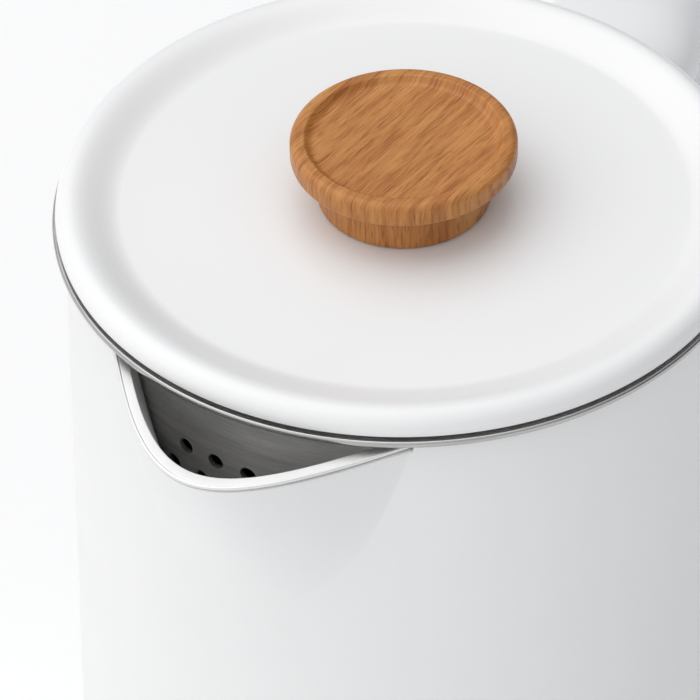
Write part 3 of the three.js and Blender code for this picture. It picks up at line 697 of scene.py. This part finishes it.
def lid_insert():
    """The steel cup under the lid, with two pressed rings on its face."""
    top = PANEL_Z - PANEL_WALL - GAP
    face = INSERT_FACE
    press = []
    for radius in (26, 44):
        for reach, height in ((-2, 0), (-1, 0.35), (1, 0.35), (2, 0)):
            press.append((radius + reach, face + height))
    outside = rounded(
        [
            (59.4, face, 0.8),
            (INSERT_RADIUS, 187.6, 1.2),
            (INSERT_RADIUS, top, 0.3),
            (59.8, top, 0.3),
            (59.8, 188.4, 0.6),
        ]
    )
    return turned("lid_insert_pressed", [(0, face), *press, *outside, (58.6, 187.2), (0, 187.2)])


def lid_seal():
    """A silicone ring with two thin lips round the lid's insert."""
    corners = [
        (61.5, 189, 0.2),
        (SEAL_RADIUS, 189, 0.3),
        (64.1, 190.2, 0.12),
        (62.7, 190.5, 0.15),
        (62.7, 191.3, 0.15),
        (64.1, 192.2, 0.12),
        (SEAL_RADIUS, 193.2, 0.3),
        (61.5, 193.2, 0.2),
    ]
    return turned("lid_seal_lipped", rounded(corners, 4))


def knob():
    """A disc with a shallow dish in its top, on a narrower neck."""
    underside = KNOB_TOP - KNOB_DISC
    dish = KNOB_TOP - KNOB_DISH
    corners = [
        (0, dish),
        (KNOB_RADIUS - 4.1, dish, 1.5),
        (KNOB_RADIUS - 2.9, KNOB_TOP, 0.6),
        (KNOB_RADIUS, KNOB_TOP, 1.5),
        (KNOB_RADIUS, underside, 1.2),
        (KNOB_NECK, underside, 0.8),
        (KNOB_NECK, PANEL_Z + GAP, 0.5),
        (KNOB_BORE, PANEL_Z + GAP),
        (KNOB_BORE, PANEL_Z + 8.4),
        (0, PANEL_Z + 8.4),
    ]
    return turned("knob_printed", rounded(corners, 8), 192, sharp=60)


# ---------------------------------------------------------------- handle
HANDLE_POINTS = [
    (52, ARM_TOP_Z),
    (72, ARM_TOP_Z),
    (92, ARM_TOP_Z),
    (111, ARM_TOP_Z - 0.5),
    (125, ARM_TOP_Z - 5),
    (133, ARM_TOP_Z - 18),
    (134, ARM_TOP_Z - 42),
    (129, ARM_TOP_Z - 70),
    (117, ARM_LOW_Z + 9),
    (97, ARM_LOW_Z + 0.8),
    (74, ARM_LOW_Z),
    (56, ARM_LOW_Z),
]


def smooth_route(points, steps=40):
    """Points along a centripetal Catmull-Rom curve through the given (y, z) points."""
    knots = [Vector(p) for p in points]
    knots = [2 * knots[0] - knots[1], *knots, 2 * knots[-1] - knots[-2]]
    route = []
    for p0, p1, p2, p3 in zip(knots, knots[1:], knots[2:], knots[3:]):
        d0, d1, d2 = (math.sqrt((b - a).length) for a, b in ((p0, p1), (p1, p2), (p2, p3)))
        m1 = ((p1 - p0) / d0 - (p2 - p0) / (d0 + d1) + (p2 - p1) / d1) * d1
        m2 = ((p2 - p1) / d1 - (p3 - p1) / (d1 + d2) + (p3 - p2) / d2) * d1
        for s in range(steps):
            t = s / steps
            blend = 2 * t**3 - 3 * t**2
            leaving, arriving = t**3 - 2 * t**2 + t, t**3 - t**2
            route.append(p1 * (blend + 1) + m1 * leaving - p2 * blend + m2 * arriving)
    return [*route, knots[-2]]


ROUTE = smooth_route(HANDLE_POINTS)
DISTANCES = [0.0]
for before, after in zip(ROUTE, ROUTE[1:]):
    DISTANCES.append(DISTANCES[-1] + (after - before).length)


def route_at(t):
    """The (y, z) place on the handle's route and its direction, for t from 0 to 1."""
    wanted = t * DISTANCES[-1]
    i = max(1, next(k for k, d in enumerate(DISTANCES) if d >= wanted - 1e-6))
    share = (wanted - DISTANCES[i - 1]) / (DISTANCES[i] - DISTANCES[i - 1])
    low, high = max(i - 2, 0), min(i + 1, len(ROUTE) - 1)
    return ROUTE[i - 1].lerp(ROUTE[i], share), (ROUTE[high] - ROUTE[low]).normalized()


def handle_half_sizes(t):
    """Half the handle's width and half its thickness, along its length from 0 to 1."""
    along = min(1, max(0, (t - ROOT_START) / (ROOT_END - ROOT_START)))
    root = 1 - along * along * (3 - 2 * along)
    return GRIP_HALF_WIDTH + ROOT_EXTRA_WIDTH * root, 9 + 1.5 * (1 - t)


def handle_point(t, u, v):
    """A point beside the handle's route: u to the side, v away from the finger gap."""
    at, along = route_at(t)
    return (u, at.x - v * along.y, at.y + v * along.x)


def oblong(half_width, half_height, start, end, steps):
    """Points along part of a rounded oblong, by angle in degrees."""
    power = 2 / 2.6
    points = []
    for i in range(steps + 1):
        angle = math.radians(start + (end - start) * i / steps)
        c, s = math.cos(angle), math.sin(angle)
        across, up = math.copysign(abs(c) ** power, c), math.copysign(abs(s) ** power, s)
        points.append((half_width * across, half_height * up))
    return points


def against_body(point):
    """The point moved along Y onto the body, with the clearance that the handle keeps."""
    x, _, z = point
    return (x, math.sqrt((body_radius(z) + GAP) ** 2 - x * x), z)


def handle_trough(name, start, end, steps):
    """A trough along the route, from the body and back to it."""
    sections = 90
    outlines = []
    for i in range(sections + 1):
        t = HANDLE_START + (HANDLE_END - HANDLE_START) * i / sections
        a, b = handle_half_sizes(t)
        outer = oblong(a, b, start, end, steps)
        inner = oblong(a - HANDLE_WALL, b - HANDLE_WALL, end, start, steps)
        outlines.append([handle_point(t, u, v) for u, v in outer + inner])
    to_body = [against_body(p) for p in outlines[0]]
    from_body = [against_body(p) for p in outlines[-1]]
    return lofted(name, [to_body, *outlines, from_body], sharp=40)


def screw_line(t, start, end):
    """Two points on a handle screw's axis."""
    return handle_point(t, SCREW_OFFSET, start), handle_point(t, SCREW_OFFSET, end)


def handle_shell():
    return handle_trough("handle_shell_moulded", -14, 194, 44)


def handle_inner_cover():
    cover = handle_trough("handle_cover_moulded", 197.5, 342.5, 32)
    cutters = []
    for t in HANDLE_SCREWS:
        b = handle_half_sizes(t)[1]
        cutters.append(rod("recess", *screw_line(t, -b - 3, -b + 3.4), 3.0, 32))
    return cut(cover, *cutters)


def handle_screw(name, t):
    """A pan-head screw with a cross recess, in the handle's inner cover."""
    b = handle_half_sizes(t)[1]
    outer, inner = (Vector(p) for p in screw_line(t, -b + SCREW_RECESS, 2.8))
    screw = cross_screw(name, 2.6, 1.2, (inner - outer).length)
    turn = (inner - outer).to_track_quat("Z", "Y")
    screw.data.transform(Matrix.Translation(outer * MM) @ turn.to_matrix().to_4x4())
    return screw


def cross_screw(name, head, shank, length):
    """A screw that points to +Z from the origin, with a cross recess in its head."""
    head_height = 1.3
    pitch = 0.8
    crown = arc(head - 0.5, 0.55, 0.5, -80, 0, 5)
    profile = [(0, 0), (head * 0.45, 0.04), *crown, (head, head_height), (shank, head_height)]
    for i in range(int((length - 3) / pitch)):
        z = 1.8 + pitch * i
        profile += [(shank - 0.18, z), (shank, z + 0.25), (shank, z + 0.4)]
    profile += [(shank - 0.3, length - 0.8), (0, length)]
    screw = turned(name, profile, 40)
    arms = []
    for low, high in (((-1.5, -0.28, -1), (1.5, 0.28, 0.8)), ((-0.28, -1.5, -1), (0.28, 1.5, 0.8))):
        arms.append(block("arm", low, high))
    return cut(screw, *arms)


# ---------------------------------------------------------------- underside of the jug
def bottom_cover():
    """The disc that closes the jug, with a groove, sunk screw holes and two ears for the lever's pin."""
    profile = rounded(
        [
            (22.2, 16, 0.4),
            (56, 16, 0.4),
            (56.4, 16.6, 0.2),
            (58.6, 16.6, 0.2),
            (59, 16, 0.4),
            (73.2, 16, 0.5),
            (73.6, 18.4, 0.3),
            (22.2, 18.4, 0.3),
        ],
        4,
    )
    cover = turned("bottom_cover_moulded", profile)
    cutters = []
    for angle in BOSS_ANGLES:
        cutters.append(rod("hole", polar(angle, BOSS_RADIUS, 10), polar(angle, BOSS_RADIUS, 19), 1.7, 32))
        cutters.append(rod("sink", polar(angle, BOSS_RADIUS, 10), polar(angle, BOSS_RADIUS, 17.2), 3.3, 40))
    cutters.append(block("lever_well", (-12.5, 69.5, 10), (12.5, 80, 19), 1))
    cut(cover, *cutters)
    ears = [block("ear", (x, 60.5, 17), (x + 2, 68.5, 29), 0.4) for x in (-15.6, 13.6)]
    cut(cover, *ears, operation="UNION")
    return cut(cover, pin_hole())


def pin_hole():
    """The hole for the lever's pin, through the cover's ears and the lever."""
    y, z = LEVER_PIVOT
    return rod("pin_hole", (-20, y, z), (20, y, z), PIN_HOLE_RADIUS, 32)


def jug_coupler():
    """The jug's half of the coupler: a cup over the base's tower, with a flange."""
    corners = [
        (17.3, TOWER_TOP + 2, 0.4),
        (17.3, 16.6, 0.3),
        (20.4, 16.6, 0.4),
        (20.4, 18.7, 0.3),
        (27, 18.7, 0.2),
        (27, 20.7, 0.3),
        (21, 20.7, 0.3),
        (21, COUPLER_TOP, 0.6),
    ]
    outline = rounded([(0, TOWER_TOP + 2), *corners, (0, COUPLER_TOP)], 4)
    return turned("jug_coupler_moulded", outline, SMALL)


def upright_screw(name, angle, radius, z, shank, length):
    """A screw that points up from a height, at an angle and a distance from the axis."""
    screw = cross_screw(name, 2.9, shank, length)
    screw.data.transform(Matrix.Translation(Vector(polar(angle, radius, z)) * MM))
    return screw


def switch_lever():
    """The on/off lever: a thumb pad outside, and a flat arm through the slot to beyond its pivot."""
    side = [
        (49, 25.4, 0.4),
        (62, 24.2, 1),
        (85.2, 24.6, 1.4),
        (86.5, 29.6, 1.6),
        (78, 28.3, 5),
        (69, 29.2, 0.8),
        (64, 29.2, 0.8),
        (49, 27.8, 0.4),
    ]
    outline = rounded(side, 6)
    edges = [(0, 0.6), (0.3, 0.15), (0.7, 0)]  # how far in from its side, and how much it has narrowed
    levels = [(x - LEVER_HALF_WIDTH, inset) for x, inset in edges]
    levels += [(LEVER_HALF_WIDTH - x, inset) for x, inset in reversed(edges)]
    middle = Vector((68.0, 27.0))
    half_length, half_height = 18.5, 2.4
    sections = []
    for x, inset in levels:
        squeeze = Vector((1 - inset / half_length, 1 - inset / half_height))
        sections.append([(x, *(middle + (Vector(p) - middle) * squeeze)) for p in outline])
    return cut(lofted("switch_lever_moulded", sections, sharp=40), pin_hole())


# ---------------------------------------------------------------- power base
def base_cover():
    """The base's top: a broad flat ring with a rounded edge and a shallow groove round the jug's foot."""
    corners = [
        (17.4, BASE_TOP - 2.2),
        (BASE_RADIUS - 4, BASE_TOP - 2.2, 1),
        (BASE_RADIUS - 2.2, 3, 0.3),
        (BASE_RADIUS, 3, 0.6),
        (BASE_RADIUS, BASE_TOP, 3.2),
        (71.2, BASE_TOP, 0.4),
        (70.6, BASE_TOP - 0.6, 0.3),
        (69.4, BASE_TOP - 0.6, 0.3),
        (68.8, BASE_TOP, 0.4),
        (23, BASE_TOP, 0.5),
        (22.4, BASE_TOP - 0.7, 0.3),
        (17.9, BASE_TOP - 0.7, 0.3),
        (17.4, BASE_TOP - 1.2),
    ]
    cover = turned("base_cover_moulded", rounded(corners, 8), FINE)
    notch = rounded([(-5.3, 0), (5.3, 0), (5.3, 9.8, 4), (-5.3, 9.8, 4)], 8)
    return cut(cover, lofted("notch", [[(x, y, z) for x, z in notch] for y in (62, 90)]))


def base_plate():
    """The underside, with a channel where spare cord is wound."""
    corners = [
        (20, FOOT_HEIGHT, 0.6),
        (20, 7.6, 0.6),
        (40, 7.6, 0.6),
        (40, FOOT_HEIGHT, 0.6),
        (BASE_RADIUS - 2.5, FOOT_HEIGHT, 0.6),
        (BASE_RADIUS - 2.5, 4.4, 0.3),
        (42, 4.4, 0.6),
        (42, 9.4, 0.6),
        (18, 9.4, 0.6),
        (18, 4, 0.6),
    ]
    outline = [(0, FOOT_HEIGHT), *rounded([(0, FOOT_HEIGHT), *corners, (0, 4)], 4)[1:]]
    plate = turned("base_plate_moulded", outline)
    cutters = []
    for angle in BOSS_ANGLES:
        below = polar(angle, BASE_SCREW_RADIUS, -1)
        cutters.append(rod("hole", below, polar(angle, BASE_SCREW_RADIUS, 8), 1.7, 32))
        cutters.append(rod("sink", below, polar(angle, BASE_SCREW_RADIUS, 3.3), 3.4, 40))
    cutters.append(block("cord_way", (-3.5, 36, -1), (3.5, 62.5, 3.2)))
    cutters.append(block("gland_way", (-5.3, 62, -1), (5.3, 90, 9.8)))
    return cut(plate, *cutters)


def base_coupler():
    """The tower that the jug sits on, with two ring slots and a socket for the earth pin."""
    slot = 17
    flange = BASE_TOP - 2.2 - GAP
    corners = [
        (20, 10, 0.4),
        (20, flange, 0.3),
        (TOWER_RADIUS, flange, 0.3),
        (TOWER_RADIUS, TOWER_TOP, 0.9),
        (14.2, TOWER_TOP, 0.4),
        (14.2, slot, 0.3),
        (10.8, slot, 0.3),
        (10.8, TOWER_TOP, 0.4),
        (8, TOWER_TOP, 0.4),
        (8, slot, 0.3),
        (4.5, slot, 0.3),
        (4.5, TOWER_TOP, 0.3),
        (2.5, TOWER_TOP, 0.3),
        (2.5, slot, 0.3),
    ]
    return turned("base_coupler_moulded", rounded([(0, 10), *corners, (0, slot)], 4), 96)


def contact_ring(name, radius, bottom, top):
    """A thin upright brass tube, one of the coupler's contacts."""
    outside = radius + CONTACT_WALL
    corners = [(radius, bottom), (outside, bottom), (outside, top), (radius, top)]
    return turned(name, rounded([(*corner, 0.2) for corner in corners], 3), 96)


def earth_pin():
    corners = [
        (0, 19),
        (1.5, 19.2, 0.5),
        (2, 21, 0.8),
        (2, CONTACT_TOP, 0.2),
        (0, CONTACT_TOP),
    ]
    return turned("earth_pin_turned", rounded(corners, 5), 40)


def cord_gland():
    """The rubber grommet in the base's notch, with a groove round it and a hole for the cord."""
    flange = [(66, 0.3), (66.5, 0)]  # each section's Y, and how far it stands out
    groove = [(77.3, 0), (77.7, -0.25), (78.1, -0.25), (78.5, 0)]
    end = [(78.9, 0), (79, -0.2)]
    outlines = []
    for y, grow in flange + groove + end:
        half_width, half_height = 4.8 + grow, 3.3 + grow
        outlines.append(
            [(half_width * math.cos(a), y, CORD_Z + half_height * math.sin(a)) for a in full_turn(48)]
        )
    gland = lofted("cord_gland_moulded", outlines, sharp=50)
    return cut(gland, rod("bore", (0, 60, CORD_Z), (0, 85, CORD_Z), 2.1, 32))


def pad(name, radius, x, y):
    """A round rubber foot, set under the base's plate."""
    top = FOOT_HEIGHT - GAP
    profile = rounded([(0, 0), (radius, 0, 0.5), (radius, top, 0.2), (0, top)], 5)
    return turned(name, profile, SMALL, (x, y))


# ---------------------------------------------------------------- assembly
def build_base():
    place(base_cover(), "power_base", WHITE_PLASTIC, "white_plastic", "base_cover")
    place(base_plate(), "power_base", WHITE_PLASTIC, "white_plastic", "base_plate")
    place(base_coupler(), "power_base", BLACK_PLASTIC, "black_plastic", "base_coupler")
    for node, radius in (("base_contact_outer", 11.1), ("base_contact_inner", 4.8)):
        place(contact_ring(f"{node}_ring", radius, 17.3, 24), "power_base", BRASS, "brass", node)
    place(cord_gland(), "power_base", RUBBER, "black_plastic", "cord_gland")
    centre_pad = pad("centre_pad_moulded", CENTRE_PAD_RADIUS, 0, 0)
    place(centre_pad, "power_base", RUBBER, "rubber", "base_centre_pad")
    for i in range(4):
        node = f"base_foot_{i + 1}"
        low, high = node_box(node)
        middle = (low + high) / 2
        foot = pad(f"{node}_moulded", FOOT_RADIUS, middle.x, middle.y)
        place(foot, "power_base", RUBBER, "rubber", node)
    for i, angle in enumerate(BOSS_ANGLES):
        node = f"base_screw_{i + 1}"
        screw = upright_screw(f"{node}_cross", angle, BASE_SCREW_RADIUS, 1.7, 1.3, 9.4)
        place(screw, "power_base", SCREW_STEEL, "screw_steel", node)


def build_jug():
    place(outer_shell(), "jug", WHITE_PAINT, "white_plastic", "outer_shell")
    place(inner_vessel(), "jug", VESSEL_STEEL, "vessel_steel", "inner_vessel")
    place(rim_ring(), "jug", RING_STEEL, "steel_trim", "rim_ring")
    place(spout_funnel(), "jug", LIP_STEEL, "steel_trim", "spout_funnel")
    place(handle_shell(), "jug", WHITE_PLASTIC, "white_plastic", "handle_shell")
    place(handle_inner_cover(), "jug", WHITE_PLASTIC, "white_plastic", "handle_inner_cover")
    for node, t in zip(("handle_screw_upper", "handle_screw_lower"), HANDLE_SCREWS):
        place(handle_screw(f"{node}_cross", t), "jug", SCREW_STEEL, "screw_steel", node)
    place(bottom_cover(), "jug", BLACK_PLASTIC, "black_plastic", "bottom_cover")
    place(jug_coupler(), "jug", BLACK_PLASTIC, "black_plastic", "jug_coupler")
    for node, radius in (("jug_contact_outer", 12.2), ("jug_contact_inner", 5.9)):
        place(contact_ring(f"{node}_ring", radius, 18.5, CONTACT_TOP), "jug", BRASS, "brass", node)
    place(earth_pin(), "jug", BRASS, "brass", "earth_pin")
    place(switch_lever(), "switch_lever", WHITE_PLASTIC, "white_plastic", "switch_lever")
    for i, angle in enumerate(BOSS_ANGLES):
        node = f"bottom_screw_{i + 1}"
        screw = upright_screw(f"{node}_cross", angle, BOSS_RADIUS, 15.5, 1.2, 11.4)
        place(screw, "jug", SCREW_STEEL, "screw_steel", node)


def build_lid():
    place(lid_cover(), "lid", WHITE_PAINT, "white_plastic", "lid_cover")
    place(lid_insert(), "lid", VESSEL_STEEL, "vessel_steel", "lid_insert")
    place(lid_seal(), "lid", SILICONE, "silicone", "lid_seal")
    place(knob(), "lid", WOOD, "wood_print", "knob")


def paint_carried_over_nodes():
    """The pieces inside the jug and lid keep their CAD mesh and get a material."""
    looks = {
        "heater_plate": ALUMINIUM,
        "heating_element": ELEMENT_STEEL,
        "element_terminal_1": SCREW_STEEL,
        "element_terminal_2": SCREW_STEEL,
        "control_unit": BLACK_PLASTIC,
        "steam_tube": SILICONE,
        "switch_pivot_pin": SCREW_STEEL,
        "knob_washer": SCREW_STEEL,
        "knob_screw": SCREW_STEEL,
    }
    for node, material in looks.items():
        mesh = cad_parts[node].data
        mesh.materials.clear()
        mesh.materials.append(material)


# ---------------------------------------------------------------- studio
FLOOR_RADIUS = 4000.0
FLOOR_TOP = -0.4
FLOOR_BOTTOM = -20.0
CAMERA_AZIMUTH = math.radians(29.215)  # from -Y towards +X
CAMERA_ELEVATION = math.radians(41.81)
CAMERA_ROLL = math.radians(-1.526)
CAMERA_AIM = Vector((0.01163, -0.04477, LID_Z * MM))
CAMERA_DISTANCE = 0.6493
CAMERA_LENS = 174.86  # for a sensor 36 mm wide
WORLD_BRIGHT_SIDE = Vector((-0.38, -0.53, 0.76)).normalized()


def area_light(name, position, aim, size, power, colour):
    data = bpy.data.lights.new(name, "AREA")
    data.shape = "DISK"
    data.size = size
    data.energy = power
    data.color = colour
    light = bpy.data.objects.new(name, data)
    bpy.context.scene.collection.objects.link(light)
    light.location = position
    light.rotation_mode = "QUATERNION"
    light.rotation_quaternion = (Vector(aim) - Vector(position)).to_track_quat("-Z", "Y")


def soft_world():
    """A pale dome, brightest overhead and to the front left, and a little blue where it is dimmest."""
    world = bpy.data.worlds.new("studio")
    world.use_nodes = True
    tree = world.node_tree
    background = tree.nodes["Background"]
    direction = tree.nodes.new("ShaderNodeTexCoord").outputs["Generated"]
    towards = tree.nodes.new("ShaderNodeVectorMath")
    towards.operation = "DOT_PRODUCT"
    tree.links.new(direction, towards.inputs[0])
    towards.inputs[1].default_value = WORLD_BRIGHT_SIDE
    tone = tree.nodes.new("ShaderNodeMapRange")
    tree.links.new(towards.outputs["Value"], tone.inputs["Value"])
    tone.inputs["From Min"].default_value = -0.27
    tone.inputs["From Max"].default_value = 0.9
    colours = tree.nodes.new("ShaderNodeValToRGB")
    tree.links.new(tone.outputs[0], colours.inputs[0])
    dim, bright = colours.color_ramp.elements
    dim.color = (0.03, 0.04, 0.06, 1)
    bright.color = (1.0, 1.0, 1.0, 1)
    tree.links.new(colours.outputs[0], background.inputs["Color"])
    background.inputs["Strength"].default_value = 1.2
    return world


def build_studio():
    """A wide pale floor, the dome, and one broad soft lamp above."""
    edge = [(FLOOR_RADIUS, FLOOR_TOP), (FLOOR_RADIUS, FLOOR_BOTTOM)]
    floor = turned("floor", [(0, FLOOR_TOP), *edge, (0, FLOOR_BOTTOM)], 96)
    floor.data.materials.append(floor_paint())
    bpy.context.scene.world = soft_world()
    bpy.context.scene.view_settings.view_transform = "Standard"
    area_light("key", (-0.7, 0.1, 2.1), (0, 0, 0.15), 2.4, 13, (1.0, 1.0, 1.0))


def place_camera():
    """Looks down on the lid from the front right, through a long lens."""
    level = Vector((math.sin(CAMERA_AZIMUTH), -math.cos(CAMERA_AZIMUTH), 0))
    back = level * math.cos(CAMERA_ELEVATION) + Vector((0, 0, math.sin(CAMERA_ELEVATION)))
    data = bpy.data.cameras.new("camera")
    data.sensor_width = 36
    data.lens = CAMERA_LENS
    data.clip_start = 0.01
    camera = bpy.data.objects.new("camera", data)
    bpy.context.scene.collection.objects.link(camera)
    turn = back.to_track_quat("Z", "Y").to_matrix().to_4x4()
    roll = Matrix.Rotation(CAMERA_ROLL, 4, "Z")
    camera.matrix_world = Matrix.Translation(CAMERA_AIM + back * CAMERA_DISTANCE) @ turn @ roll
    bpy.context.scene.camera = camera


place_camera()
build_base()
build_jug()
build_lid()
paint_carried_over_nodes()
build_studio()
